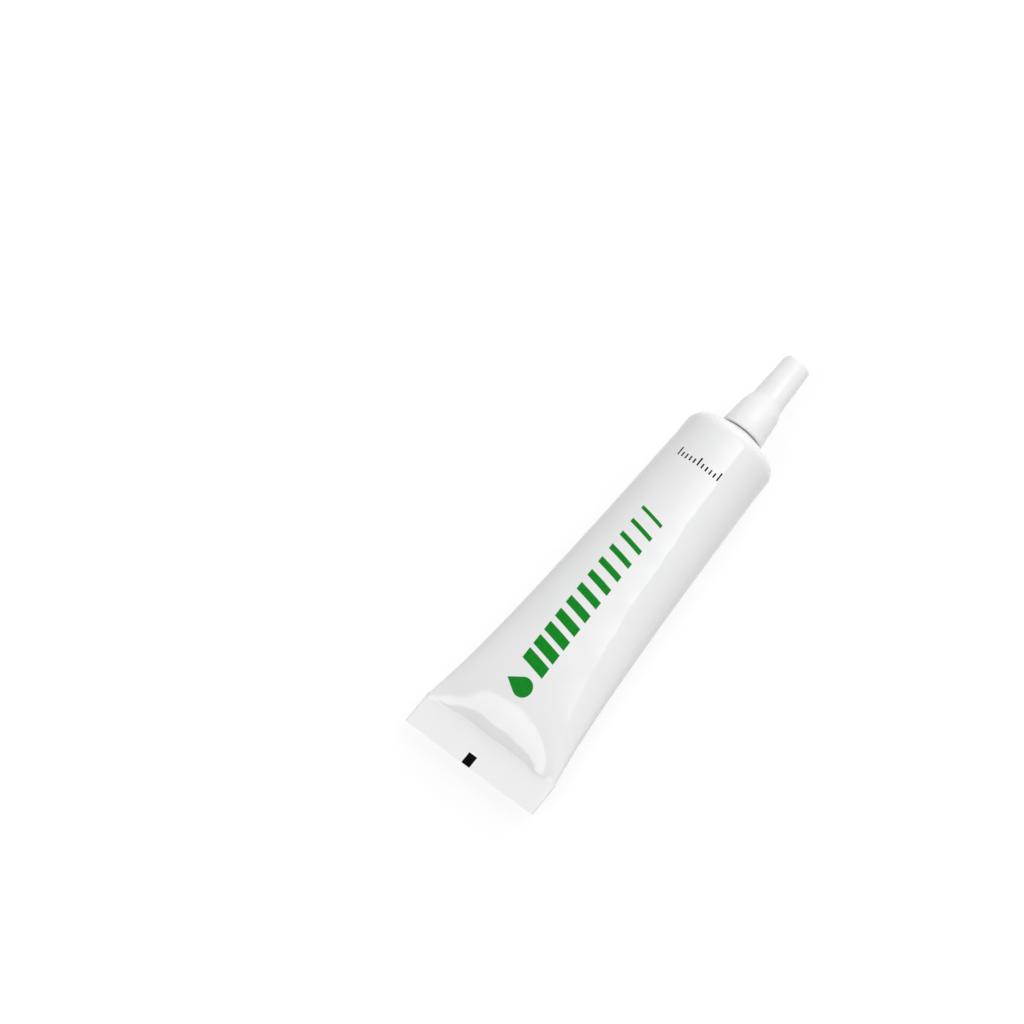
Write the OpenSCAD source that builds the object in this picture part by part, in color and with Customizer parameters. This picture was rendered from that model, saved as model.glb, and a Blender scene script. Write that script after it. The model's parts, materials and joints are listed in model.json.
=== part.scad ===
// Squeeze tube of lubricating grease with a moulded nozzle head and a screw-on pointed cap.
// The filled tube lies on its belly: +X runs from the sealed tail to the cap, +Z is up,
// and the origin is under the middle of the whole tube, on the surface that it lies on.

/* [Sleeve] */
// Outside diameter of the sleeve at its round end
sleeve_d = 19; // [16:0.5:28]
// Length of the sleeve from the cut tail to the shoulder
sleeve_len = 77.5; // [60:0.5:120]
// Thickness of the sleeve's film
film_t = 0.45; // [0.3:0.05:0.7]
// Length of the flat fin where the tail is heat-sealed
fin_len = 6.9; // [4:0.1:12]
// Run in which the wall swells up from the seal, steeper when smaller
swell_run = 1.4; // [0.8:0.1:3]
// Share of the swell that rises evenly along the whole sleeve
even_taper = 0.08; // [0:0.01:0.3]
// How far the film's two sides lie flat on each other beside the seal
pinch = 0.05; // [0:0.05:1]
// Depth of the flat that the belly settles into
belly_flat = 0.35; // [0.2:0.05:0.5]
// Distance from the shoulder back to the middle of that flat
belly_back = 31; // [28:0.5:40]

/* [Head] */
// Length of the head's skirt, welded inside the sleeve
skirt_len = 3; // [2:0.5:6]
// Wall of the skirt
skirt_t = 0.8; // [0.5:0.1:1.2]
// Radius of the shoulder's outer edge
shoulder_round = 1.9; // [1:0.1:3]
// Slope of the shoulder towards the neck, in degrees
shoulder_slope = 20; // [10:1:30]
// Wall of the shoulder, measured along the axis
shoulder_t = 1.2; // [0.8:0.1:1.6]
// Diameter of the neck at the root of its screw thread
neck_d = 5.1; // [4.8:0.1:7]
// Diameter of the passage through the neck
neck_bore_d = 3.2; // [2.4:0.1:3.4]
// Length of the neck inside the cap
neck_len = 4.6; // [3.5:0.1:7]
// Diameter of the nozzle where it leaves the neck
nozzle_base_d = 4; // [3.8:0.1:4.4]
// Diameter of the nozzle at its tip
nozzle_tip_d = 2.4; // [2.2:0.1:3]
// Length of the nozzle beyond the neck
nozzle_len = 10.7; // [8:0.1:16]
// Diameter of the nozzle's outlet
outlet_d = 1.2; // [0.8:0.1:1.4]
// Length of the outlet's straight bore
outlet_len = 4; // [3:0.1:6]

/* [Cap] */
// Gap between the cap's rim and the shoulder
rim_gap = 0.45; // [0.2:0.05:1]
// Room between the neck and the cap's bore, which the screw thread fills
thread_room = 0.53; // [0.4:0.01:0.8]
// Wall of the cap at its rim
rim_wall = 1.5; // [1:0.02:2]
// Wall that stands outside the bore at the top of the flared part
flare_wall = 0.56; // [0.3:0.02:0.7]
// Length of the flared part above the neck
flare_over = 1.6; // [1:0.1:3]
// Length of the curve that leads from the flared part into the cone
blend_len = 1.3; // [1:0.1:3]
// Wall of the cone around the nozzle
cone_wall = 0.9; // [0.6:0.01:1.2]
// Wall of the cap's closed end
end_wall = 1.3; // [1:0.1:2]
// Radius of the edge around the closed end
tip_round = 0.8; // [0.4:0.1:1]
// Radius of the rim's outer edge
rim_round = 0.25; // [0.1:0.05:0.4]
// Bevel inside the cap's mouth
mouth_bevel = 0.3; // [0.1:0.05:0.5]
// Room between the nozzle and the inside of the cone
nozzle_room = 0.25; // [0.2:0.01:0.4]

/* [Tip seal] */
// Thickness of the seal's disc, clamped between the nozzle and the cap
seal_t = 0.9; // [0.6:0.1:1.5]
// How far the disc stands out beyond the nozzle's tip
seal_lip = 0.6; // [0.4:0.05:0.8]
// Length of the pin that plugs the outlet
pin_len = 1.5; // [1:0.1:2.5]
// Bevel at the end of the pin
pin_bevel = 0.15; // [0.05:0.05:0.2]

/* [Filling] */
// Length at the tail that the grease leaves empty
headspace = 26; // [5:1:35]

/* [Fits] */
// Clearance between the head's skirt and the sleeve
weld_clearance = 0.04; // [0.03:0.01:0.08]
// Clearance of the seal in the cap and of its pin in the outlet
seal_clearance = 0.05; // [0.03:0.01:0.1]
// Clearance between the grease and what holds it
fill_clearance = 0.05; // [0.03:0.01:0.1]

/* [Hidden] */
$fn = 96;

// Colours
film_white = [0.95, 0.95, 0.95];
head_white = [0.92, 0.92, 0.91];
cap_white = [0.97, 0.97, 0.97];
seal_clear = [0.85, 0.87, 0.88];
grease_cream = [0.9, 0.86, 0.72];

// Sleeve
sides = 48;
sleeve_rings = 26;
fill_rings = 16;
sleeve_r = sleeve_d / 2;
film_girth = PI * (sleeve_d - film_t);
round_margin = 1;
round_x = sleeve_len - skirt_len - round_margin;
swell_len = round_x - fin_len;
pinch_fade = 5;
fold_fade = 0.35;
film_split = 0.05;
bore_r = sleeve_r - film_t;

// Head
skirt_r = bore_r - weld_clearance;
skirt_bore_r = skirt_r - skirt_t;
neck_r = neck_d / 2;
neck_bore_r = neck_bore_d / 2;
nozzle_base_r = nozzle_base_d / 2;
nozzle_tip_r = nozzle_tip_d / 2;
outlet_r = outlet_d / 2;
throat_len = 1;

// Cap, from the inside out
cap_bore_r = neck_r + thread_room;
rim_r = cap_bore_r + rim_wall;
flare_r = cap_bore_r + flare_wall;
cone_bore_r = nozzle_base_r + nozzle_room;
seal_r = nozzle_tip_r + seal_lip;
nose_bore_r = seal_r + seal_clearance;
cone_r = cone_bore_r + cone_wall;
nose_r = nose_bore_r + cone_wall;
pin_r = outlet_r - seal_clearance;

// Stations along the axis, measured from the cut tail
cap_x = shoulder_x(rim_r) + rim_gap;
neck_x = cap_x + neck_len;
tip_x = neck_x + nozzle_len;
nose_x = tip_x + seal_t;
end_x = nose_x + end_wall;
flare_x = neck_x + flare_over;
cone_x = flare_x + blend_len;
fill_x = fin_len + headspace;
fill_end_x = sleeve_len - skirt_len - fill_clearance;

// Lays the tube down on its belly, with the origin under its middle
rest_tilt = atan(belly_slope(sleeve_len - belly_back));
belly_low = min([for (x = stations()) x * sin(rest_tilt) - half_height(x) * cos(rest_tilt)]);
rest_z = -belly_low - belly_flat;
tail_end = -film_t * sin(rest_tilt);
nose_end = (end_x - tip_round) * cos(rest_tilt) + (nose_r - tip_round) * sin(rest_tilt) + tip_round;
rest_x = -(tail_end + nose_end) / 2;

// Points of an arc about [r, x] from angle a to angle b
function arc(centre, radius, a, b, steps = 8) =
    [for (i = [0:steps]) centre + radius * [cos(a + (b - a) * i / steps), sin(a + (b - a) * i / steps)]];

// Points of a smooth step from one [r, x] to another
function ogee(from, to, steps = 10) =
    [for (i = [0:steps]) [
        from[0] + (to[0] - from[0]) * (1 - cos(180 * i / steps)) / 2,
        from[1] + (to[1] - from[1]) * i / steps
    ]];

// Outer face of the shoulder: where its rounded edge ends, and its height at a radius
function shoulder_edge() = [
    sleeve_r - shoulder_round * (1 - sin(shoulder_slope)),
    sleeve_len + shoulder_round * cos(shoulder_slope)
];
function shoulder_x(r) = shoulder_edge()[1] + (shoulder_edge()[0] - r) * tan(shoulder_slope);

// How far a station lies between the seal, 0, and the round part of the sleeve, 1
function fullness(x) = max(0, min(1, (x - fin_len) / swell_len));

// Rise of the wall from the seal, 0, to the full radius, 1: steep at first, then ever gentler
function swell(x) = ln(1 + fullness(x) * swell_len / swell_run) / ln(1 + swell_len / swell_run);

// Half the sleeve's height: two films at the seal, the full radius at the round part
function half_height(x) =
    film_t + (sleeve_r - film_t) * (even_taper * fullness(x) + (1 - even_taper) * swell(x));

// Slope of the sleeve's wall at a station
function belly_slope(x) =
    (sleeve_r - film_t) * (even_taper / swell_len
    + (1 - even_taper) / (swell_run + x - fin_len) / ln(1 + swell_len / swell_run));

// Half of the flat part of the film's thickness that still shows beside the seal
function fold_height(x) = film_t * pow(max(0, 1 - fullness(x) / fold_fade), 2);

// Sharpness of the section's sides: 1 is an ellipse, above 1 the sides lie flat
function side_power(x) = 1 + 2 * pinch * pow(1 - fullness(x), pinch_fade);

// One point of a section with given half width and half height, at an angle around the axis
function section_point(x, half_w, half_h, angle) =
    let (
        s = sin(angle),
        fold = min(fold_height(x), half_h),
        h = abs(s) < 0.001 ? 0 : fold + (half_h - fold) * pow(abs(s), side_power(x))
    )
    [half_w * cos(angle), s < 0 ? -h : h];

// Girth of the film's middle surface for a given half width
function girth(x, half_w) =
    let (
        steps = 24,
        half_h = half_height(x) - film_t / 2,
        p = [for (i = [0:steps]) section_point(x, half_w - film_t / 2, half_h, 90 * i / steps)]
    )
    4 * sum([for (i = [1:steps]) norm(p[i] - p[i - 1])]);

function sum(list) = list * [for (v = list) 1];

// The film doesn't stretch, so the half width is the one that keeps its girth
function half_width(x, low = sleeve_r / 2, high = film_girth / 4 + film_t, halvings = 20) =
    let (mid = (low + high) / 2)
    halvings == 0 ? mid
    : girth(x, mid) < film_girth ? half_width(x, mid, high, halvings - 1)
    : half_width(x, low, mid, halvings - 1);

// Stations of the sleeve, closest together where the wall swells up from the seal
function stations() = concat(
    [0, fin_len],
    [for (i = [1:sleeve_rings]) fin_len + swell_len * pow(i / sleeve_rings, 2)],
    [sleeve_len]
);

// Height of the surface below the tube, seen from its axis
function ground(x) = -(rest_z + x * sin(rest_tilt)) / cos(rest_tilt);

// Closed ring of outer points at a station, flat where the belly rests
function ring(x) =
    let (half_w = half_width(x), half_h = half_height(x))
    [for (j = [0:sides - 1])
        let (p = section_point(x, half_w, half_h, 360 * j / sides))
        [x, p[0], max(p[1], ground(x))]];

// Outward direction of the surface at point j of ring i
function outward(rings, i, j) =
    let (
        before = rings[max(i - 1, 0)][j],
        after = rings[min(i + 1, len(rings) - 1)][j],
        along = after - before,
        around = rings[i][(j + 1) % sides] - rings[i][(j + sides - 1) % sides],
        n = cross(around, along)
    )
    n / norm(n);

// Ring i moved inwards by a depth, with the two films kept apart and its station kept at the ends
function inner_ring(rings, i, depth) =
    let (x = rings[i][0][0], ends = i == 0 || i == len(rings) - 1)
    [for (j = [0:sides - 1])
        let (
            p = rings[i][j] - depth * outward(rings, i, j),
            upper = j > 0 && j < sides / 2,
            lower = j > sides / 2,
            z = upper ? max(p[2], film_split) : lower ? min(p[2], -film_split) : 0
        )
        [ends ? x : p[0], p[1], max(z, ground(p[0]) + depth)]];

// Faces of a skin over rings of points, closed at both ends
function skin_faces(count) = concat(
    [for (i = [0:count - 2], j = [0:sides - 1])
        let (k = (j + 1) % sides, a = i * sides, b = a + sides)
        each [[a + j, b + j, b + k], [a + j, b + k, a + k]]],
    end_faces(0, false),
    end_faces((count - 1) * sides, true)
);
function end_faces(first, far) =
    [for (j = [0:sides / 2 - 1])
        let (k = (sides - j) % sides, m = sides - j - 1, quad = [j, j + 1, m, k])
        each [for (t = j == 0 ? [[0, 1, 2]] : j == sides / 2 - 1 ? [[0, 1, 3]] : [[0, 1, 2], [0, 2, 3]])
            far ? [for (c = [2, 1, 0]) first + quad[t[c]]] : [for (c = t) first + quad[c]]]];

module skin(rings) {
    polyhedron(points = [for (r = rings) each r], faces = skin_faces(len(rings)), convexity = 6);
}

module lie_down() {
    translate([rest_x, 0, rest_z]) rotate([0, -rest_tilt, 0]) children();
}

// Revolves a profile of [r, x] points about the tube's axis
module revolve(profile) {
    rotate([0, 90, 0]) rotate_extrude() polygon(profile);
}

// Film tube: round where it meets the head, pressed flat and sealed at the tail
module tube_sleeve() {
    outer = [for (x = stations()) ring(x)];
    last = len(outer) - 1;
    inner = [for (i = [last:-1:2]) inner_ring(outer, i, film_t)];
    color(film_white) lie_down() skin(concat(outer, inner));
}

// Head moulding: welded skirt, shoulder, neck and nozzle with one passage through them
module tube_head() {
    edge_centre = [sleeve_r - shoulder_round, sleeve_len];
    profile = concat(
        [[skirt_bore_r, sleeve_len - skirt_len], [skirt_r, sleeve_len - skirt_len], [skirt_r, sleeve_len]],
        arc(edge_centre, shoulder_round, 0, 90 - shoulder_slope),
        [
            [neck_r, shoulder_x(neck_r)],
            [neck_r, neck_x],
            [nozzle_base_r, neck_x],
            [nozzle_tip_r, tip_x],
            [outlet_r, tip_x],
            [outlet_r, tip_x - outlet_len],
            [neck_bore_r, neck_x - throat_len],
            [neck_bore_r, shoulder_x(neck_bore_r) - shoulder_t],
            [skirt_bore_r, shoulder_x(skirt_bore_r) - shoulder_t]
        ]
    );
    color(head_white) lie_down() revolve(profile);
}

// Grease: fills the sleeve up to the headspace, and the head's passage up to the seal's pin
module grease_fill() {
    depth = film_t + fill_clearance;
    run = fill_end_x - fill_x;
    body = [for (i = [0:fill_rings]) ring(fill_x + run * i / fill_rings)];
    root_x = fill_end_x - skirt_len;
    plug_x = tip_x - pin_len - fill_clearance;
    bore = outlet_r - fill_clearance;
    passage = [
        [0, root_x],
        [skirt_bore_r - fill_clearance, root_x],
        [skirt_bore_r - fill_clearance, shoulder_x(skirt_bore_r) - shoulder_t - fill_clearance],
        [neck_bore_r - fill_clearance, shoulder_x(neck_bore_r) - shoulder_t - fill_clearance],
        [neck_bore_r - fill_clearance, neck_x - throat_len],
        [bore, tip_x - outlet_len],
        [bore, plug_x],
        [0, plug_x]
    ];
    color(grease_cream) lie_down() {
        skin([for (i = [0:fill_rings]) inner_ring(body, i, depth)]);
        revolve(passage);
    }
}

// Soft seal in the cap's nose: a disc on the nozzle's tip, with a pin that plugs the outlet
module tip_seal() {
    profile = [
        [0, tip_x - pin_len],
        [pin_r - pin_bevel, tip_x - pin_len],
        [pin_r, tip_x - pin_len + pin_bevel],
        [pin_r, tip_x],
        [seal_r, tip_x],
        [seal_r, nose_x],
        [0, nose_x]
    ];
    color(seal_clear) lie_down() revolve(profile);
}

// Cap: a flared part that screws onto the neck, blended into a cone over the nozzle
module screw_cap() {
    profile = concat(
        [[cap_bore_r, cap_x + mouth_bevel], [cap_bore_r + mouth_bevel, cap_x]],
        arc([rim_r - rim_round, cap_x + rim_round], rim_round, -90, 0),
        ogee([flare_r, flare_x], [cone_r, cone_x]),
        arc([nose_r - tip_round, end_x - tip_round], tip_round, 0, 90),
        [
            [0, end_x],
            [0, nose_x],
            [nose_bore_r, nose_x],
            [nose_bore_r, tip_x],
            [cone_bore_r, flare_x],
            [cap_bore_r, neck_x + nozzle_room]
        ]
    );
    color(cap_white) lie_down() revolve(profile);
}

tube_sleeve();
tube_head();
grease_fill();
tip_seal();
screw_cap();
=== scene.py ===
import json
import math

import bmesh
import bpy
import numpy as np
from mathutils import Matrix, Vector


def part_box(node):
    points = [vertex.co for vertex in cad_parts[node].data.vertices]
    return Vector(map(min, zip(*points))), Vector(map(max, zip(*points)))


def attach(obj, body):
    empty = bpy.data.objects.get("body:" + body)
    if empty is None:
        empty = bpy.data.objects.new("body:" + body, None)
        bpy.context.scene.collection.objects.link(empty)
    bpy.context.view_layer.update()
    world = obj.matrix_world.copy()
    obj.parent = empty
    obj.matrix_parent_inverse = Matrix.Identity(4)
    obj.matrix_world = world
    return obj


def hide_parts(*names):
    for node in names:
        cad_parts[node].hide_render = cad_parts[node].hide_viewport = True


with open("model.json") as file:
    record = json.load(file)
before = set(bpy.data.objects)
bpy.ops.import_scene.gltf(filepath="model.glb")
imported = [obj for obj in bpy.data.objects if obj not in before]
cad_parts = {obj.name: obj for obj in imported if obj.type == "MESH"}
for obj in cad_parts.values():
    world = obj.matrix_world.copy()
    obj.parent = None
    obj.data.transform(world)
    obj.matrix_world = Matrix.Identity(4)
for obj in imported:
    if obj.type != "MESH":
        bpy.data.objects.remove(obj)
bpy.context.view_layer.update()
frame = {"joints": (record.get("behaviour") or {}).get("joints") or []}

# Sizes are in millimetres, with stations along the tube's own axis from its cut tail. Blender works in metres
MM = 0.001

# Sleeve
SLEEVE_D = 19.0
SLEEVE_LEN = 77.5
FILM = 0.45
FIN_LEN = 6.9
SWELL_RUN = 1.4
EVEN_TAPER = 0.08
PINCH = 0.05
PINCH_FADE = 5
FOLD_FADE = 0.35
FOLD_SINE = 1e-3
FILM_SPLIT = 0.05
ROUND_LEN = 4.0
TRIM_SLANT = 0.4
SLEEVE_R = SLEEVE_D / 2
SWELL_LEN = SLEEVE_LEN - ROUND_LEN - FIN_LEN
FILM_GIRTH = math.pi * (SLEEVE_D - FILM)

# Crease beside the seal: a step, a far end and bumps, each with its depth, its place across and its width
CREASE_ROUND = 0.16
CREASE_FADE = 2.5
CREASE_REACH = 3.5
CREASE_ZONE = 2.0
CREASE_BASE = 0.1
CREASE_STEP = (0.12, -0.4, 0.9)
CREASE_END = (1.0, 7.5, 7.0)
CREASE_BUMPS = ((-0.4, 4.8, 2.4), (0.15, -4.3, 0.9), (0.8, -10.6, 2.0))

# Waviness of the film: share, then length, phase and drift along the tube, and the same three across it
RIPPLE = 0.035
RIPPLE_EDGE = 1.5
RIPPLE_WAVES = (
    (1.0, (19.0, 0.6, 0), (15.0, 0.5, 0)),
    (0.6, (11.5, 2.1, 1 / 6), (21.0, -0.7, 0)),
    (0.7, (7.7, 0.4, 0), (8.5, 1.1 - math.pi / 2, 1 / 9)),
    (0.3, (4.6, 1.7, 1 / 2.3), (6.3, 0, 1 / 5)),
)

# Head
SKIRT_LEN = 3.0
SKIRT_T = 0.8
SKIRT_ROUND = 0.15
WELD_CLEARANCE = 0.04
SHOULDER_ROUND = 1.9
EDGE_ROUND = 3.0
SHOULDER_SLOPE = math.radians(20)
SHOULDER_T = 1.2
NECK_R = 2.55
NECK_BORE_R = 1.6
NECK_LEN = 4.6
NECK_ROUND = 0.2
NOZZLE_BASE_R = 2.0
NOZZLE_TIP_R = 1.2
NOZZLE_LEN = 10.7
NOZZLE_FOOT_ROUND = 0.25
NOZZLE_TIP_ROUND = 0.15
OUTLET_R = 0.6
OUTLET_LEN = 4.0
OUTLET_ROUND = 0.08
THROAT_LEN = 1.0
SKIRT_R = SLEEVE_R - FILM - WELD_CLEARANCE
SKIRT_BORE_R = SKIRT_R - SKIRT_T

# Cap: a flared skirt and a cone, with a step between them
RIM_GAP = 0.45
CAP_BORE_R = 3.08
RIM_R = 4.58
FLARE_R = 3.64
FLARE_OVER = 1.6
FLARE_START = 0.6
FLARE_SWELL = 0.17
FLARE_TOP_SLOPE = -0.115
BLEND_LEN = 1.3
BLEND_EARLY = 0.7
BLEND_LATE = 0.85
CONE_SWELL = 0.08
CONE_R = 3.15
CONE_BORE_R = 2.25
NOSE_R = 2.75
NOSE_BORE_R = 1.85
END_WALL = 1.3
TIP_ROUND = 0.8
RIM_ROUND = 0.25
MOUTH_BEVEL = 0.3
MOUTH_ROUND = 0.06
BORE_ROUND = 0.1
NOZZLE_ROOM = 0.25

# Seal and grease
SEAL_T = 0.9
SEAL_R = 1.8
SEAL_ROUND = 0.08
PIN_LEN = 1.5
PIN_R = 0.55
PIN_ROUND = 0.15
HEADSPACE = 26.0
FILL_CLEARANCE = 0.05
GREASE_DOME = 2.2
DOME_TIP = 0.04

# Screw thread between the neck and the cap: its half width, flank and run-out are shares of a pitch
THREAD_START = 0.75
THREAD_PITCH = 1.5
THREAD_TURNS = 2.2
THREAD_HALF = 0.36
THREAD_FLANK = 0.22
THREAD_RUNOUT = 0.12
NECK_THREAD_H = 0.45
NECK_WALL_START = 0.25
NECK_WALL_END = 0.3
CAP_THREAD_H = 0.43
CAP_THREAD_TURNS = THREAD_TURNS - 0.5
CAP_WALL_END = 0.2
WALL_RINGS = 90
ON_WALL = 1e-6

# Print on the sleeve: distances from the tail, and round the film from its top line
PRINT_START = 15.0
PRINT_END = 57.0
PRINT_HEIGHT = 5.4
PRINT_ACROSS = 1.4
DROP_WIDTH = 3.8
DROP_GAP = 1.3
DROP_POINT = 0.03
DROP_BOWL = (0.06, 1.9)
DROP_CONE = 0.7
BAR_COUNT = 12
BAR_WIDTHS = (2.25, 0.7)
BAR_SLANT = 0.22
SCALE_AT = 69.5
SCALE_ACROSS = 0.75
SCALE_COUNT = 11
SCALE_PITCH = 0.92
TICK_WIDTH = 0.3
TICK_LENGTHS = (1.75, 1.0)
TICK_GROUP = 5
EYE_SIZE = (2.4, 1.8)
EYE_START = 0.02
EYE_ACROSS = 0.7
INK_LIFT = 0.012
INK_ROOT = 0.03

# Fineness of the meshes
ROUND_STEPS = 144
SHARP_ANGLE = 40
MERGE_DISTANCE = 1e-7

# Camera of the photograph: image centre on the floor, in metres, and the way back to the camera
AIM = Vector((-0.00345, 0.02588, 0))
VIEW_AZIMUTH = math.radians(-53.562)
VIEW_ELEVATION = math.radians(67.832)
VIEW_ROLL = math.radians(1.896)
VIEW_DISTANCE = 1.10893
VIEW_CLIP = (0.05, 20)
SENSOR = 36.0
FOCAL_PIXELS = 6000
IMAGE_PIXELS = 1024

# Floor: side and level in metres, colour in the light it gives, and colour and glow where it is seen
FLOOR_SIDE = 3.0
FLOOR_LEVEL = -0.02 * MM
FLOOR_LIT = (0.5, 0.5, 0.5, 1)
FLOOR_SEEN = (0.2, 0.2, 0.2, 1)
FLOOR_GLOW = 0.82

# Levels along the strip lamp, from over the tail to over the cap
STRIP_FADE = ((0, 0.15), (0.37, 1), (0.48, 1), (0.6, 0.83), (0.77, 0.85), (0.81, 0.15), (1, 0.1))
DOWN = (0, 0, -1)

# Share of a noise over which a material's values run
NOISE_SPAN = (0.3, 0.7)

# The tube's own frame
turn = next(joint for joint in frame["joints"] if joint["name"] == "cap_turn")
ALONG = Vector(turn["axis"]).normalized()
ACROSS = Vector((0, 1, 0))
RISE = ALONG.cross(ACROSS)


def tail_centre():
    """Middle of the cut tail, in metres: the axis meets the sleeve's far end there."""
    base = Vector(turn["pos_m"])
    tail_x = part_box("tube_sleeve")[0].x - FILM * MM * RISE.x
    return base + ALONG * ((tail_x - base.x) / ALONG.x)


TAIL = tail_centre()
TO_ROW = np.array([ALONG, ACROSS, RISE])


def to_row(points):
    """Points along, across and above the axis in millimetres, as points of the row frame in metres."""
    return np.asarray(points, float) @ TO_ROW * MM + np.array(TAIL)


# Stations along the axis
def shoulder_x(radius):
    """Station of the shoulder's outer face at a radius."""
    edge_r = SLEEVE_R - SHOULDER_ROUND * (1 - math.sin(SHOULDER_SLOPE))
    edge_x = SLEEVE_LEN + SHOULDER_ROUND * math.cos(SHOULDER_SLOPE)
    return edge_x + (edge_r - radius) * math.tan(SHOULDER_SLOPE)


EDGE_X = SLEEVE_LEN - (EDGE_ROUND - SHOULDER_ROUND) * math.tan(math.pi / 4 - SHOULDER_SLOPE / 2)
CAP_X = shoulder_x(RIM_R) + RIM_GAP
NECK_X = CAP_X + NECK_LEN
TIP_X = NECK_X + NOZZLE_LEN
NOSE_X = TIP_X + SEAL_T
END_X = NOSE_X + END_WALL
FLARE_X = NECK_X + FLARE_OVER
CONE_X = FLARE_X + BLEND_LEN
FILL_X = FIN_LEN + HEADSPACE
FILL_END_X = SLEEVE_LEN - SKIRT_LEN - FILL_CLEARANCE


# Shape of the film
def fullness(x):
    """0 at the seal, 1 where the sleeve is round."""
    return np.clip((x - FIN_LEN) / SWELL_LEN, 0, 1)


def half_height(x):
    """Half the sleeve's height: two films at the seal, then a swell that grows ever gentler."""
    swell = np.log1p(fullness(x) * SWELL_LEN / SWELL_RUN) / math.log1p(SWELL_LEN / SWELL_RUN)
    return FILM + (SLEEVE_R - FILM) * (EVEN_TAPER * fullness(x) + (1 - EVEN_TAPER) * swell)


def fold_height(x, half_h):
    """Half of the flat part of the film's thickness that still shows beside the seal."""
    return np.minimum(FILM * np.maximum(0, 1 - fullness(x) / FOLD_FADE) ** 2, half_h)


def section(x, angle, half_w, half_h):
    """Offsets across and up of a section's point at an angle round the axis."""
    fold = fold_height(x, half_h)
    power = 1 + 2 * PINCH * (1 - fullness(x)) ** PINCH_FADE
    sine = np.sin(angle)
    up = np.where(np.abs(sine) < FOLD_SINE, 0, fold + (half_h - fold) * np.abs(sine) ** power)
    return half_w * np.cos(angle), np.sign(sine) * up


def girth(x, half_w, steps=25):
    """Girth of the film's middle surface at each station."""
    angle = np.linspace(0, math.pi / 2, steps)[:, None]
    across, up = section(x, angle, half_w - FILM / 2, half_height(x) - FILM / 2)
    return 4 * np.hypot(np.diff(across, axis=0), np.diff(up, axis=0)).sum(0)


def half_width(x, halvings=24):
    """Half width that keeps the film's girth, because film doesn't stretch."""
    low = np.full(len(x), SLEEVE_R / 2)
    high = np.full(len(x), FILM_GIRTH / 4 + FILM)
    for _ in range(halvings):
        middle = (low + high) / 2
        short = girth(x, middle) < FILM_GIRTH
        low = np.where(short, middle, low)
        high = np.where(short, high, middle)
    return (low + high) / 2


WIDTH_STATIONS = FIN_LEN + SWELL_LEN * np.linspace(0, 1, num=300) ** 2
WIDTHS = half_width(WIDTH_STATIONS)


def ground(x):
    """Height of the surface under the tube at a station, seen from the axis."""
    return -(TAIL.z / MM + x * ALONG.z) / ALONG.x


def crease_shift(across):
    """How far towards the tail the crease beside the seal wanders."""
    depth, place, width = CREASE_STEP
    shift = CREASE_BASE + depth * np.tanh((across - place) / width)
    depth, place, width = CREASE_END
    shift = shift + depth * np.clip((across - place) / width, 0, 1) ** 1.5
    for depth, place, width in CREASE_BUMPS:
        shift = shift + depth * np.exp(-((across - place) / width) ** 2)
    return shift


def film_point(x, angle):
    """Outer face of the film at stations and angles round the axis."""
    x, angle = np.broadcast_arrays(np.asarray(x, float), np.asarray(angle, float))
    half_w = np.interp(x, WIDTH_STATIONS, WIDTHS)
    fade = np.exp(-np.maximum(x - FIN_LEN, 0) / CREASE_FADE)
    past = x - FIN_LEN + crease_shift(half_w * np.cos(angle)) * fade
    soft_x = FIN_LEN + (past + np.hypot(past, CREASE_ROUND)) / 2
    half_h = half_height(soft_x)
    across, up = section(soft_x, angle, half_w, half_h)
    inset = np.clip((half_w - np.abs(across)) / FILM, 0, 1)
    edge_round = fold_height(soft_x, half_h) * (1 - np.sqrt(1 - (1 - inset) ** 2))
    wave = ripple(x, across) * np.tanh(np.abs(up) / RIPPLE_EDGE)
    up = up + np.sign(up) * (wave - edge_round)
    trim = TRIM_SLANT * np.clip(1 - x / FIN_LEN, 0, 1) * (1 - up / FILM) / 2
    return np.stack([x + trim, across, np.maximum(up, ground(x))], -1)


def ring_stations(x, angle):
    """Stations of a ring's points: beside the seal, a ring follows the crease."""
    half_w = np.interp(x, WIDTH_STATIONS, WIDTHS)
    past = x - FIN_LEN
    near = np.exp(-max(past, 0) / CREASE_FADE) * min(max(1 + past / CREASE_REACH, 0), 1)
    return x - crease_shift(half_w * np.cos(angle)) * near


def ripple(x, across):
    """Soft waviness of the film between the seal and the head."""
    full = fullness(x)
    height = 0
    for share, (length, phase, drift), (side_length, side_phase, side_drift) in RIPPLE_WAVES:
        wave = np.sin(math.tau * x / length + phase + drift * across)
        side_wave = np.cos(math.tau * across / side_length + side_phase + side_drift * x)
        height = height + share * wave * side_wave
    return RIPPLE * 4 * full * (1 - full) * height


def edge_drop(x):
    """How far the sleeve's end is drawn in where it rounds into the shoulder."""
    return EDGE_ROUND - math.sqrt(EDGE_ROUND ** 2 - max(x - EDGE_X, 0) ** 2)


def film_normal(x, angle, step=1e-3, turned=5e-3):
    """Outward direction of the film at stations and angles."""
    along = film_point(x + step, angle) - film_point(x - step, angle)
    around = film_point(x, angle + turned) - film_point(x, angle - turned)
    normal = np.cross(around, along)
    return normal / np.linalg.norm(normal, axis=-1, keepdims=True)


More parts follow.
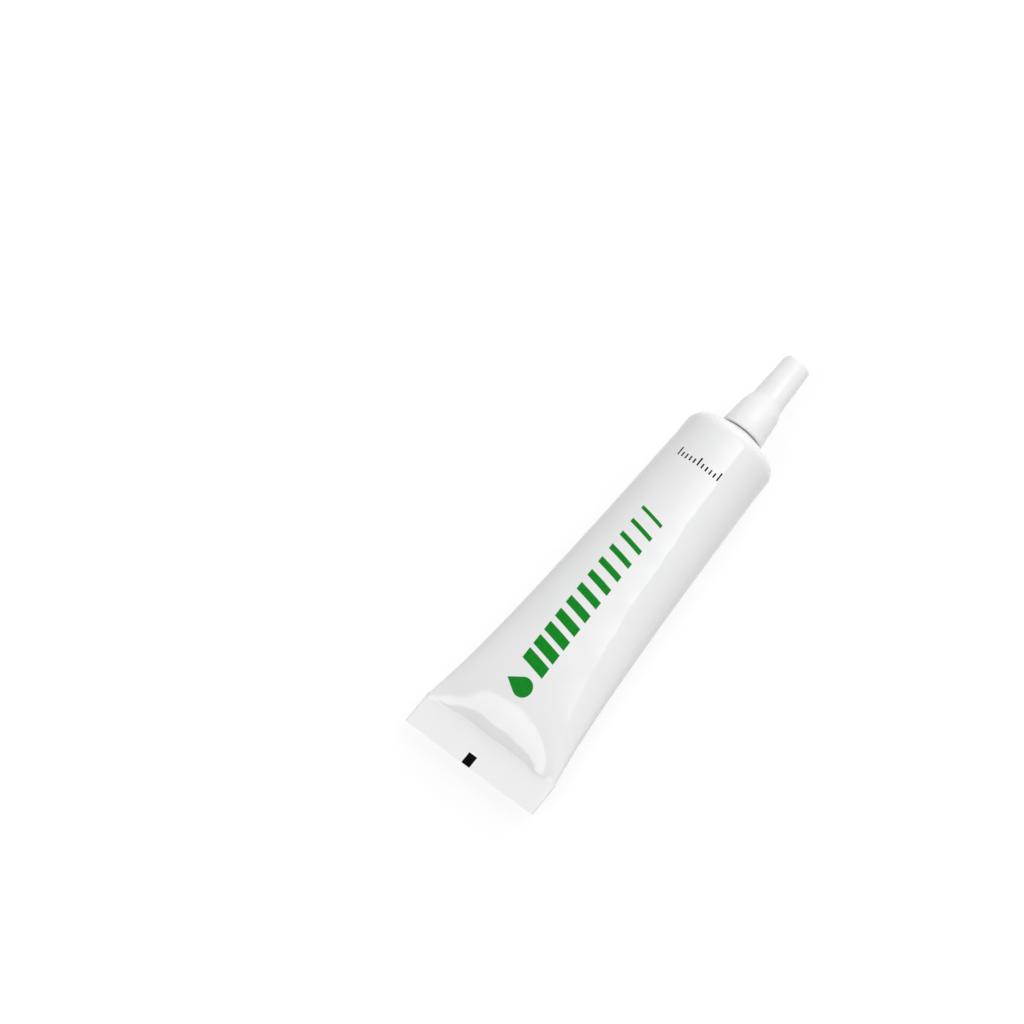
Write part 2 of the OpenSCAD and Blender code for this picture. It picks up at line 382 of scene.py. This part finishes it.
# Meshes
def add_piece(name, points, faces, material, body, slot=None, replaced=None):
    """A mesh of points in the tube's own frame that rides on a body and may stand for a solid."""
    mesh = bpy.data.meshes.new(name)
    mesh.from_pydata(to_row(points).tolist(), [], [list(face) for face in faces])
    work = bmesh.new()
    work.from_mesh(mesh)
    bmesh.ops.remove_doubles(work, verts=work.verts, dist=MERGE_DISTANCE)
    bmesh.ops.recalc_face_normals(work, faces=work.faces)
    work.to_mesh(mesh)
    work.free()
    mesh.polygons.foreach_set("use_smooth", [True] * len(mesh.polygons))
    mesh.set_sharp_from_angle(angle=math.radians(SHARP_ANGLE))
    mesh.materials.append(material)
    piece = bpy.data.objects.new(name, mesh)
    bpy.context.scene.collection.objects.link(piece)
    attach(piece, body)
    if replaced:
        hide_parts(replaced)


def ring_faces(rings, around):
    """Quads between rows of a grid that is closed around."""
    faces = []
    for i in range(rings - 1):
        row, following = i * around, (i + 1) * around
        for j in range(around):
            beside = (j + 1) % around
            faces.append((row + j, following + j, following + beside, row + beside))
    return faces


def lid_faces(first, around):
    """Strips that close a ring from its upper side to its lower one."""
    return [
        (first + j, first + j + 1, first + around - j - 1, first + (around - j) % around)
        for j in range(around // 2)
    ]


def loft(rings):
    """Points and faces of a skin over rings of points, closed at both ends."""
    count, around = rings.shape[:2]
    faces = ring_faces(count, around) + lid_faces(0, around) + lid_faces((count - 1) * around, around)
    return rings.reshape(-1, 3), [tuple(dict.fromkeys(face)) for face in faces]


def inset_ring(x, angle, depth):
    """Ring inside the film at a depth, with the upper and lower films kept apart."""
    ring = film_point(x, angle) - depth * film_normal(x, angle)
    ring[:, 0] = x
    side = np.sign(np.sin(angle).round(9))
    up = side * np.maximum(side * ring[:, 2], FILM_SPLIT)
    ring[:, 2] = np.maximum(up, ground(x) + depth)
    return ring


def arc(centre_r, centre_x, radius, start, end, steps=20):
    """Points of an arc about a centre, as radius and station, between two angles in degrees."""
    angles = np.radians(np.linspace(start, end, steps))
    return [(centre_r + radius * math.cos(a), centre_x + radius * math.sin(a)) for a in angles]


def smooth_step(start, end, steps=24):
    """Curve between two points of (radius, station, slope) that leaves and arrives at their slopes."""
    (r0, x0, slope0), (r1, x1, slope1) = start, end
    run = x1 - x0
    t = np.linspace(0, 1, steps)
    rise = t * t * (3 - 2 * t)
    r = r0 + (r1 - r0) * rise + run * (slope0 * t * (1 - t) ** 2 - slope1 * t * t * (1 - t))
    return list(zip(r, x0 + run * t))


def rounded(corners, steps=6):
    """Outline through corners of (radius, station, rounding), with an arc at each rounded one."""
    outline = []
    for i, (r, x, size) in enumerate(corners):
        corner = np.array([r, x])
        if size == 0:
            outline.append(corner)
            continue
        before = np.array(corners[i - 1][:2]) - corner
        after = np.array(corners[(i + 1) % len(corners)][:2]) - corner
        before /= np.linalg.norm(before)
        after /= np.linalg.norm(after)
        half = math.acos(np.clip(before @ after, -1, 1)) / 2
        reach = size / math.tan(half)
        middle = corner + (before + after) / np.linalg.norm(before + after) * size / math.sin(half)
        first = corner + before * reach - middle
        last = corner + after * reach - middle
        for t in np.linspace(0, 1, steps):
            blend = first * (1 - t) + last * t
            outline.append(middle + blend / np.linalg.norm(blend) * size)
    return [tuple(point) for point in outline]


def wall(r, start, end):
    """Close points along a straight wall, for a thread to bend."""
    return [(r, x, 0) for x in np.linspace(start, end, WALL_RINGS)]


def thread_ridge(x, angle, first_x, turns):
    """Height, 0 to 1, of a right-hand thread that starts at a station and runs out at both ends."""
    share = angle / math.tau
    turn_at = np.round((x - first_x) / THREAD_PITCH - share) + share
    distance = np.abs((x - first_x) / THREAD_PITCH - turn_at)
    flank = np.clip((THREAD_HALF - distance) / THREAD_FLANK, 0, 1)
    fade = np.clip(turn_at / THREAD_RUNOUT, 0, 1) * np.clip((turns - turn_at) / THREAD_RUNOUT, 0, 1)
    return flank * flank * (3 - 2 * flank) * fade


def revolve(outline, around=ROUND_STEPS, ridge=None):
    """Points and faces of a closed outline turned about the axis, with its wall moved by a ridge."""
    outline = np.array(outline)
    angle = np.linspace(0, math.tau, around, endpoint=False)
    r, x = np.broadcast_arrays(outline[:, 0, None], outline[:, 1, None] + 0 * angle)
    if ridge:
        r = r + ridge(r, x, angle)
    points = np.stack([x, r * np.cos(angle), r * np.sin(angle)], -1)
    closed = np.concatenate([points, points[:1]])
    faces = ring_faces(len(closed), around)
    return closed.reshape(-1, 3), faces


# Materials
def new_material(name, colour, roughness, **sockets):
    """A principled material with its plain values set on the shader."""
    material = bpy.data.materials.new(name)
    material.use_nodes = True
    shader = material.node_tree.nodes["Principled BSDF"]
    shader.inputs["Base Color"].default_value = (*colour, 1)
    shader.inputs["Roughness"].default_value = roughness
    for socket, value in sockets.items():
        shader.inputs[socket.replace("_", " ")].default_value = value
    return material, material.node_tree, shader


def noise(tree, scale, stretch=(1, 1, 1), detail=3.0):
    """Noise in the piece's own coordinates: scale is in features per metre."""
    where = tree.nodes.new("ShaderNodeTexCoord")
    mapping = tree.nodes.new("ShaderNodeMapping")
    mapping.inputs["Scale"].default_value = stretch
    texture = tree.nodes.new("ShaderNodeTexNoise")
    texture.inputs["Scale"].default_value = scale
    texture.inputs["Detail"].default_value = detail
    tree.links.new(where.outputs["Object"], mapping.inputs["Vector"])
    tree.links.new(mapping.outputs["Vector"], texture.inputs["Vector"])
    return texture.outputs["Fac"]


def vary(tree, factor, socket, low, high):
    """A socket that runs from low to high with a factor."""
    span = tree.nodes.new("ShaderNodeMapRange")
    span.inputs["From Min"].default_value = NOISE_SPAN[0]
    span.inputs["From Max"].default_value = NOISE_SPAN[1]
    span.inputs["To Min"].default_value = low
    span.inputs["To Max"].default_value = high
    tree.links.new(factor, span.inputs["Value"])
    tree.links.new(span.outputs["Result"], socket)


def tint(tree, factor, socket, dark, light):
    """A colour socket that runs from a dark to a light colour with a factor."""
    ramp = tree.nodes.new("ShaderNodeValToRGB")
    for element, position, colour in zip(ramp.color_ramp.elements, NOISE_SPAN, (dark, light)):
        element.position = position
        element.color = (*colour, 1)
    tree.links.new(factor, ramp.inputs["Fac"])
    tree.links.new(ramp.outputs["Color"], socket)


def relief(tree, factor, depth_mm, strength, under=None):
    """A bump of a depth in millimetres, over another bump."""
    bump = tree.nodes.new("ShaderNodeBump")
    bump.inputs["Strength"].default_value = strength
    bump.inputs["Distance"].default_value = depth_mm * MM
    tree.links.new(factor, bump.inputs["Height"])
    if under:
        tree.links.new(under, bump.inputs["Normal"])
    return bump.outputs["Normal"]


def film_material():
    """White polyethylene film: glossy, with fine extrusion lines along the tube and a soft waviness."""
    plain, dark, light = (0.86, 0.86, 0.86), (0.845, 0.85, 0.85), (0.875, 0.875, 0.872)
    material, tree, shader = new_material("film_white", plain, roughness=0.2, IOR=1.5)
    mottle = noise(tree, scale=90, stretch=(0.6, 1, 1))
    smears = noise(tree, scale=700, stretch=(0.2, 1, 1))
    drawn = noise(tree, scale=2600, stretch=(0.04, 1, 1), detail=2)
    billows = noise(tree, scale=160, stretch=(0.5, 1, 1), detail=1)
    tint(tree, mottle, shader.inputs["Base Color"], dark, light)
    vary(tree, smears, shader.inputs["Roughness"], low=0.07, high=0.11)
    lines = relief(tree, drawn, depth_mm=0.004, strength=0.5)
    waves = relief(tree, billows, depth_mm=0.03, strength=0.5, under=lines)
    tree.links.new(waves, shader.inputs["Normal"])
    return material


def soften(shader, radius_mm):
    """Light that seeps into a material, by a distance for each colour."""
    shader.inputs["Subsurface Scale"].default_value = MM
    shader.inputs["Subsurface Radius"].default_value = radius_mm


def moulded_material(name, dark, light, roughness, uneven=0.05):
    """Moulded white plastic: even, slightly translucent, with a fine grain from the mould."""
    material, tree, shader = new_material(name, light, roughness, IOR=1.5, Subsurface_Weight=0.2)
    soften(shader, (0.5, 0.5, 0.5))
    tint(tree, noise(tree, scale=220), shader.inputs["Base Color"], dark, light)
    vary(tree, noise(tree, scale=1500), shader.inputs["Roughness"], roughness - uneven, roughness + uneven)
    grain = relief(tree, noise(tree, scale=2500, detail=2), depth_mm=0.003, strength=0.25)
    tree.links.new(grain, shader.inputs["Normal"])
    return material


def seal_material():
    """Milky soft polyethylene."""
    plain, dark, light = (0.82, 0.84, 0.85), (0.78, 0.81, 0.83), (0.84, 0.86, 0.87)
    material, tree, shader = new_material("seal_milky", plain, roughness=0.42, Subsurface_Weight=0.3)
    soften(shader, (0.6, 0.6, 0.6))
    tint(tree, noise(tree, scale=500), shader.inputs["Base Color"], dark, light)
    grain = relief(tree, noise(tree, scale=3000), depth_mm=0.01, strength=0.4)
    tree.links.new(grain, shader.inputs["Normal"])
    return material


def grease_material():
    """Cream-coloured grease: moist, with soft swirls."""
    plain, dark, light = (0.86, 0.82, 0.66), (0.8, 0.74, 0.55), (0.89, 0.86, 0.72)
    material, tree, shader = new_material("grease_cream", plain, roughness=0.28, Subsurface_Weight=0.35)
    soften(shader, (1.2, 0.9, 0.5))
    streaks = noise(tree, scale=260, stretch=(0.5, 1, 1), detail=5)
    swirls = noise(tree, scale=420, stretch=(0.6, 1, 1), detail=4)
    tint(tree, streaks, shader.inputs["Base Color"], dark, light)
    vary(tree, noise(tree, scale=600), shader.inputs["Roughness"], low=0.2, high=0.36)
    tree.links.new(relief(tree, swirls, depth_mm=0.12, strength=0.6), shader.inputs["Normal"])
    return material


def ink_material(name, dark, light, roughness, gloss, uneven=0.06):
    """Printing ink on the film: nearly even, a little thinner here and there."""
    material, tree, shader = new_material(name, light, roughness, IOR=1.5, Specular_IOR_Level=gloss)
    tint(tree, noise(tree, scale=1800, detail=4), shader.inputs["Base Color"], dark, light)
    vary(tree, noise(tree, scale=900), shader.inputs["Roughness"], roughness - uneven, roughness + uneven)
    return material


# Pieces of the tube
def build_sleeve(material, around=256):
    """The film: rings from the cut tail to the head, back inside it to the seal, and closed there."""
    angle = np.linspace(0, math.tau, around, endpoint=False)
    crease_start, crease_end = FIN_LEN - CREASE_ZONE, FIN_LEN + CREASE_ZONE
    fin = np.linspace(0, crease_start, num=8, endpoint=False)
    crease = np.linspace(crease_start, crease_end, num=40, endpoint=False)
    swell = crease_end + (SWELL_LEN - CREASE_ZONE) * np.linspace(0, 1, num=120) ** 1.5
    head_end = np.linspace(SLEEVE_LEN - ROUND_LEN, EDGE_X, num=5)[1:]
    drawn_in = np.linspace(EDGE_X, SLEEVE_LEN, num=6)[1:]
    outer_x = np.concatenate([fin, crease, swell, head_end, drawn_in])
    inner_x = outer_x[outer_x > FIN_LEN + FILM][::-1]
    outer = [film_point(ring_stations(x, angle), angle) for x in outer_x]
    for x, ring in zip(outer_x, outer):
        ring[:, 1:] *= 1 - edge_drop(x) / SLEEVE_R
    inner = [inset_ring(x, angle, FILM) for x in inner_x]
    points, faces = loft(np.array(outer + inner))
    add_piece("sleeve_film", points, faces, material, "tube", "sleeve_film", "tube_sleeve")


def build_head(material):
    """Skirt, shoulder, threaded neck and nozzle, turned about the axis with the passage through them."""
    neck_root = shoulder_x(NECK_R)
    thread_x = neck_root + THREAD_START
    edge_start = math.degrees(math.asin((SLEEVE_LEN - EDGE_X) / EDGE_ROUND))
    edge_end = 90 - math.degrees(SHOULDER_SLOPE)
    edge = arc(SLEEVE_R - EDGE_ROUND, EDGE_X, EDGE_ROUND, edge_start, edge_end)
    corners = [
        (SKIRT_BORE_R, SLEEVE_LEN - SKIRT_LEN, 0),
        (SKIRT_R, SLEEVE_LEN - SKIRT_LEN, SKIRT_ROUND),
        (SKIRT_R, SLEEVE_LEN, 0),
        *[(r, x, 0) for r, x in edge],
        (NECK_R, neck_root, NECK_ROUND),
        *wall(NECK_R, neck_root + NECK_WALL_START, NECK_X - NECK_WALL_END),
        (NECK_R, NECK_X, NECK_ROUND),
        (NOZZLE_BASE_R, NECK_X, NOZZLE_FOOT_ROUND),
        (NOZZLE_TIP_R, TIP_X, NOZZLE_TIP_ROUND),
        (OUTLET_R, TIP_X, OUTLET_ROUND),
        (OUTLET_R, TIP_X - OUTLET_LEN, 0),
        (NECK_BORE_R, NECK_X - THROAT_LEN, 0),
        (NECK_BORE_R, shoulder_x(NECK_BORE_R) - SHOULDER_T, 0),
        (SKIRT_BORE_R, shoulder_x(SKIRT_BORE_R) - SHOULDER_T, 0),
    ]

    def ridge(r, x, angle):
        """Outward height of the thread on the neck's wall."""
        on_neck = (np.abs(r - NECK_R) < ON_WALL) & (x > neck_root) & (x < NECK_X)
        return np.where(on_neck, NECK_THREAD_H * thread_ridge(x, angle, thread_x, THREAD_TURNS), 0)

    points, faces = revolve(rounded(corners), ridge=ridge)
    add_piece("head_moulding", points, faces, material, "tube", "head_moulding", "tube_head")


def build_cap(material):
    """Flared skirt and hollow cone, with a thread in the bore that runs between the neck's turns."""
    thread_x = shoulder_x(NECK_R) + THREAD_START + THREAD_PITCH / 2
    flare_slope = (FLARE_R - RIM_R) / (FLARE_X - CAP_X)
    cone_slope = (NOSE_R - CONE_R) / (END_X - CONE_X)
    foot = (RIM_R + FLARE_START * flare_slope, CAP_X + FLARE_START, flare_slope)
    top = (FLARE_R - BLEND_EARLY * flare_slope + FLARE_SWELL, FLARE_X - BLEND_EARLY, FLARE_TOP_SLOPE)
    cone = (CONE_R + BLEND_LATE * cone_slope + CONE_SWELL, CONE_X + BLEND_LATE, cone_slope)
    corners = [
        (CAP_BORE_R, CAP_X + MOUTH_BEVEL, BORE_ROUND),
        (CAP_BORE_R + MOUTH_BEVEL, CAP_X, MOUTH_ROUND),
        (RIM_R, CAP_X, RIM_ROUND),
        *[(r, x, 0) for r, x in smooth_step(foot, top) + smooth_step(top, cone)[1:]],
        (NOSE_R, END_X, TIP_ROUND),
        (0, END_X, 0),
        (0, NOSE_X, 0),
        (NOSE_BORE_R, NOSE_X, BORE_ROUND),
        (NOSE_BORE_R, TIP_X, 0),
        (CONE_BORE_R, FLARE_X, 0),
        (CAP_BORE_R, NECK_X + NOZZLE_ROOM, 0),
        *wall(CAP_BORE_R, NECK_X, CAP_X + MOUTH_BEVEL + CAP_WALL_END),
    ]

    def ridge(r, x, angle):
        """Inward height of the thread on the bore's wall."""
        on_bore = (np.abs(r - CAP_BORE_R) < ON_WALL) & (x < NECK_X) & (x > CAP_X + MOUTH_BEVEL)
        return np.where(on_bore, -CAP_THREAD_H * thread_ridge(x, angle, thread_x, CAP_THREAD_TURNS), 0)

    points, faces = revolve(rounded(corners), ridge=ridge)
    add_piece("cap_moulding", points, faces, material, "cap", "cap", "screw_cap")


def build_seal(material):
    """Soft disc in the cap's nose, with the pin that plugs the outlet."""
    corners = [
        (0, TIP_X - PIN_LEN, 0),
        (PIN_R, TIP_X - PIN_LEN, PIN_ROUND),
        (PIN_R, TIP_X, 0),
        (SEAL_R, TIP_X, SEAL_ROUND),
        (SEAL_R, NOSE_X, SEAL_ROUND),
        (0, NOSE_X, 0),
    ]
    points, faces = revolve(rounded(corners), around=96)
    add_piece("seal_plug", points, faces, material, "seal", "seal", "tip_seal")


def build_grease(material, around=96):
    """Grease: a domed free surface, the fill inside the film, and what stands in the head's passage."""
    angle = np.linspace(0, math.tau, around, endpoint=False)
    depth = FILM + FILL_CLEARANCE
    edge_x = FILL_X + GREASE_DOME
    body = [inset_ring(x, angle, depth) for x in np.linspace(edge_x, FILL_END_X, num=60)]
    dome = []
    for turn_in in np.linspace(DOME_TIP, math.pi / 2, num=10, endpoint=False):
        ring = body[0] * np.array([1, math.sin(turn_in), math.sin(turn_in)])
        ring[:, 0] -= GREASE_DOME * math.cos(turn_in)
        dome.append(ring)
    passage = [
        (SKIRT_BORE_R - FILL_CLEARANCE, FILL_END_X),
        (SKIRT_BORE_R - FILL_CLEARANCE, shoulder_x(SKIRT_BORE_R) - SHOULDER_T - FILL_CLEARANCE),
        (NECK_BORE_R - FILL_CLEARANCE, shoulder_x(NECK_BORE_R) - SHOULDER_T - FILL_CLEARANCE),
        (NECK_BORE_R - FILL_CLEARANCE, NECK_X - THROAT_LEN),
        (OUTLET_R - FILL_CLEARANCE, TIP_X - OUTLET_LEN),
        (OUTLET_R - FILL_CLEARANCE, TIP_X - PIN_LEN - FILL_CLEARANCE),
    ]
    circle = np.stack([0 * angle, np.cos(angle), np.sin(angle)], -1)
    front = [r * circle + np.array([x, 0, 0]) for r, x in passage]
    points, faces = loft(np.array(dome + body + front))
    add_piece("grease_paste", points, faces, material, "tube", "grease", "grease_fill")


# Print
def wrap(u, v, lowest=20, steps=200):
    """Angles at which the film's top face is a distance v round from its top line, at stations u."""
    sweep = np.radians(np.linspace(90, lowest, steps))
    found = np.empty(len(u))
    for i, (x, reach) in enumerate(zip(u, v)):
        line = film_point(x, sweep)
        length = np.concatenate([[0], np.cumsum(np.linalg.norm(np.diff(line, axis=0), axis=1))])
        angle = np.interp(abs(reach), length, sweep)
        found[i] = angle if reach >= 0 else math.pi - angle
    return found


def ink_patch(v_rows, low_u, high_u, columns=10):
    """Thin closed slab of ink on the film between two edges, row by row round the film."""
    t = np.linspace(0, 1, columns)
    u = low_u[:, None] * (1 - t) + high_u[:, None] * t
    v = np.repeat(v_rows[:, None], columns, 1)
    angle = wrap(u.ravel(), v.ravel())
    surface = film_point(u.ravel(), angle)
    outward = film_normal(u.ravel(), angle)
    rows, count = len(v_rows), u.size
    points = np.concatenate([surface + INK_LIFT * outward, surface - INK_ROOT * outward])
    faces = []
    for i in range(rows - 1):
        for j in range(columns - 1):
            a = i * columns + j
            quad = (a, a + 1, a + columns + 1, a + columns)
            faces.append(quad)
            faces.append(tuple(count + k for k in reversed(quad)))
    rim = list(range(columns))
    rim += [i * columns + columns - 1 for i in range(1, rows)]
    rim += [(rows - 1) * columns + j for j in range(columns - 2, -1, -1)]
    rim += [i * columns for i in range(rows - 2, 0, -1)]
    for a, b in zip(rim, rim[1:] + rim[:1]):
        faces.append((a, count + a, count + b, b))
    return points, faces


def join_patches(patches):
    """Points and faces of several patches together."""
    points, faces, start = [], [], 0
    for patch_points, patch_faces in patches:
        points.append(patch_points)
        faces += [tuple(start + k for k in face) for face in patch_faces]
        start += len(patch_points)
    return np.concatenate(points), faces


def droplet_patch():
    """A plain drop whose point is up when the print is read from the tail."""
    radius = DROP_WIDTH / 2
    low = -PRINT_HEIGHT / 2
    centre = low + radius
    tip = PRINT_HEIGHT / 2
    bowl_v = centre - radius * np.cos(np.linspace(*DROP_BOWL, num=18))
    cone_v = np.linspace(centre + DROP_CONE, tip, num=14)
    v = np.unique(np.concatenate([bowl_v, cone_v]).round(6))
    side = math.acos(radius / (tip - centre))
    tangent_v = centre + radius * math.cos(side)
    tangent_w = radius * math.sin(side)
    bowl = np.sqrt(np.maximum(radius ** 2 - (v - centre) ** 2, 0))
    cone = tangent_w * (tip - v) / (tip - tangent_v)
    half = np.maximum(np.where(v < tangent_v, bowl, cone), DROP_POINT)
    middle = PRINT_START + radius
    return ink_patch(v + PRINT_ACROSS, middle - half, middle + half)


def bar_patches():
    """Slanted bars that grow thinner towards the cap."""
    v = np.linspace(-PRINT_HEIGHT / 2, PRINT_HEIGHT / 2, num=14)
    start = PRINT_START + DROP_WIDTH + DROP_GAP
    shift = BAR_SLANT * (v + PRINT_HEIGHT / 2)
    last_start = PRINT_END - BAR_WIDTHS[1] - shift[-1]
    for i in range(BAR_COUNT):
        share = i / (BAR_COUNT - 1)
        low = start + (last_start - start) * share + shift
        width = BAR_WIDTHS[0] + (BAR_WIDTHS[1] - BAR_WIDTHS[0]) * share
        yield ink_patch(v + PRINT_ACROSS, low, low + width, columns=6)


def tick_patches():
    """A short row of plain ticks across the tube, every fifth one long."""
    for i in range(SCALE_COUNT):
        middle = SCALE_ACROSS + (i - (SCALE_COUNT - 1) / 2) * SCALE_PITCH
        length = TICK_LENGTHS[0] if i % TICK_GROUP == 0 else TICK_LENGTHS[1]
        v = np.linspace(middle - TICK_WIDTH / 2, middle + TICK_WIDTH / 2, num=3)
        low = np.full(len(v), SCALE_AT - TICK_LENGTHS[0] / 2)
        yield ink_patch(v, low, low + length, columns=5)


def eye_patch():
    """The registration mark at the edge of the tail."""
    v = np.linspace(EYE_ACROSS - EYE_SIZE[1] / 2, EYE_ACROSS + EYE_SIZE[1] / 2, num=5)
    return ink_patch(v, np.full(len(v), EYE_START), np.full(len(v), EYE_SIZE[0]), columns=6)


def build_print(green, black):
    """Three printed pieces on the film, which stand for no solid."""
    add_piece("front_print", *join_patches([droplet_patch(), *bar_patches()]), green, "tube")
    add_piece("scale_ticks", *join_patches(tick_patches()), black, "tube")
    add_piece("eye_mark", *eye_patch(), black, "tube")


# Stage
def build_floor():
    """White floor that looks brighter where it is seen than in the light it gives the tube."""
    half = FLOOR_SIDE / 2
    corners = [(-half, -half), (half, -half), (half, half), (-half, half)]
    mesh = bpy.data.meshes.new("floor")
    mesh.from_pydata([(x, y, FLOOR_LEVEL) for x, y in corners], [], [(0, 1, 2, 3)])
    floor = bpy.data.objects.new("floor", mesh)
    bpy.context.scene.collection.objects.link(floor)
    material = bpy.data.materials.new("floor_white")
    material.use_nodes = True
    tree = material.node_tree
    tree.nodes.clear()
    paper = tree.nodes.new("ShaderNodeBsdfDiffuse")
    paper.inputs["Color"].default_value = FLOOR_LIT
    shade = tree.nodes.new("ShaderNodeBsdfDiffuse")
    shade.inputs["Color"].default_value = FLOOR_SEEN
    glow = tree.nodes.new("ShaderNodeEmission")
    glow.inputs["Strength"].default_value = FLOOR_GLOW
    seen = tree.nodes.new("ShaderNodeAddShader")
    choice = tree.nodes.new("ShaderNodeMixShader")
    output = tree.nodes.new("ShaderNodeOutputMaterial")
    tree.links.new(shade.outputs["BSDF"], seen.inputs[0])
    tree.links.new(glow.outputs["Emission"], seen.inputs[1])
    tree.links.new(seen_directly(tree), choice.inputs["Fac"])
    tree.links.new(paper.outputs["BSDF"], choice.inputs[1])
    tree.links.new(seen.outputs["Shader"], choice.inputs[2])
    tree.links.new(choice.outputs["Shader"], output.inputs["Surface"])
    mesh.materials.append(material)


def seen_directly(tree):
    """1 for rays from the camera, mirrors and glass, and 0 for all other light."""
    path = tree.nodes.new("ShaderNodeLightPath")
    seen = path.outputs["Is Camera Ray"]
    for name in ("Is Glossy Ray", "Is Transmission Ray"):
        most = tree.nodes.new("ShaderNodeMath")
        most.operation = "MAXIMUM"
        tree.links.new(seen, most.inputs[0])
        tree.links.new(path.outputs[name], most.inputs[1])
        seen = most.outputs["Value"]
    return seen


def build_world(light=0.345, lean=0.25, bright_side=(0.4, -0.8, 0.3)):
    """White surroundings, dimmer in the light they give the tube, which is stronger from one side."""
    world = bpy.data.worlds.new("studio")
    bpy.context.scene.world = world
    world.use_nodes = True
    tree = world.node_tree
    background = tree.nodes["Background"]
    background.inputs["Color"].default_value = (1, 1, 1, 1)
    where = tree.nodes.new("ShaderNodeTexCoord")
    side = tree.nodes.new("ShaderNodeVectorMath")
    side.operation = "DOT_PRODUCT"
    side.inputs[1].default_value = bright_side
    span = tree.nodes.new("ShaderNodeMapRange")
    span.inputs["From Min"].default_value = -1
    span.inputs["To Min"].default_value = light - lean
    span.inputs["To Max"].default_value = light + lean
    strength = tree.nodes.new("ShaderNodeMapRange")
    tree.links.new(where.outputs["Generated"], side.inputs[0])
    tree.links.new(side.outputs["Value"], span.inputs["Value"])
    tree.links.new(seen_directly(tree), strength.inputs["Value"])
    tree.links.new(span.outputs["Result"], strength.inputs["To Min"])
    tree.links.new(strength.outputs["Result"], background.inputs["Strength"])


def fade_lamp(lamp, stops):
    """A lamp that is full along one side and dark along the other, with levels at stops along its length."""
    lamp.use_nodes = True
    tree = lamp.node_tree
    place = tree.nodes.new("ShaderNodeNewGeometry")
    split = tree.nodes.new("ShaderNodeSeparateXYZ")
    along = tree.nodes.new("ShaderNodeValToRGB")
    levels = along.color_ramp.elements
    while len(levels) < len(stops):
        levels.new(1)
    for level, (position, strength) in zip(levels, stops):
        level.position = position
        level.color = (strength, strength, strength, 1)
    across = tree.nodes.new("ShaderNodeMapRange")
    across.inputs["To Max"].default_value = 0
    tree.links.new(place.outputs["Parametric"], split.inputs["Vector"])
    tree.links.new(split.outputs["X"], along.inputs["Fac"])
    tree.links.new(along.outputs["Color"], across.inputs["To Min"])
    tree.links.new(split.outputs["Y"], across.inputs["Value"])
    tree.links.new(across.outputs["Result"], tree.nodes["Emission"].inputs["Strength"])


def softbox(name, centre, towards, size, radiance, fade=None, mirrored=True):
    """A rectangular area lamp that shines along a direction, and may fade along and across itself."""
    lamp = bpy.data.lights.new(name, "AREA")
    lamp.shape = "RECTANGLE"
    lamp.size, lamp.size_y = size
    lamp.energy = radiance * math.pi * size[0] * size[1]
    if fade:
        fade_lamp(lamp, fade)
    light = bpy.data.objects.new(name, lamp)
    light.visible_camera = False
    light.visible_glossy = mirrored
    bpy.context.scene.collection.objects.link(light)
    facing = (-Vector(towards)).to_track_quat("Z", "Y").to_matrix().to_4x4()
    light.matrix_world = Matrix.Translation(centre) @ facing


def build_camera():
    """The photograph's camera, fitted to the tube's outline."""
    camera = bpy.data.cameras.new("camera")
    camera.sensor_width = SENSOR
    camera.lens = SENSOR * FOCAL_PIXELS / IMAGE_PIXELS
    camera.clip_start, camera.clip_end = VIEW_CLIP
    seat = bpy.data.objects.new("camera", camera)
    bpy.context.scene.collection.objects.link(seat)
    level, height = math.cos(VIEW_ELEVATION), math.sin(VIEW_ELEVATION)
    back = Vector((math.sin(VIEW_AZIMUTH) * level, -math.cos(VIEW_AZIMUTH) * level, height))
    right = Vector((0, 0, 1)).cross(back).normalized()
    up = back.cross(right)
    rolled_right = right * math.cos(VIEW_ROLL) + up * math.sin(VIEW_ROLL)
    rolled_up = back.cross(rolled_right)
    turned = Matrix((rolled_right, rolled_up, back)).transposed().to_4x4()
    seat.matrix_world = Matrix.Translation(AIM + back * VIEW_DISTANCE) @ turned
    bpy.context.scene.camera = seat


bpy.context.scene.view_settings.view_transform = "Standard"
build_camera()
build_world()
build_floor()
softbox("strip_softbox", (0.31, -0.2, 1.0), DOWN, size=(0.82, 1.0), radiance=3.45, fade=STRIP_FADE)
softbox("end_softbox", (0.64, -0.3, 1.0), DOWN, size=(0.18, 0.8), radiance=0.9, mirrored=False)
softbox("tail_softbox", (-0.96, 0.165, 1.0), DOWN, size=(1.08, 0.83), radiance=3.05)
softbox("back_softbox", (1.1, 0.05, 0.5), (-1, -0.05, -0.3), size=(1.6, 1.0), radiance=1.8, mirrored=False)

film_white = film_material()
head_white = moulded_material("head_white", (0.85, 0.85, 0.85), (0.88, 0.88, 0.88), roughness=0.2)
cap_white = moulded_material("cap_white", (0.865, 0.865, 0.865), (0.895, 0.895, 0.895), roughness=0.13)
build_sleeve(film_white)
build_head(head_white)
build_cap(cap_white)
build_seal(seal_material())
build_grease(grease_material())
green = ink_material("ink_green", (0.006, 0.225, 0.016), (0.009, 0.265, 0.022), roughness=0.3, gloss=0.06)
black = ink_material("ink_black", (0.002, 0.002, 0.002), (0.004, 0.004, 0.004), roughness=0.35, gloss=0.02)
build_print(green, black)
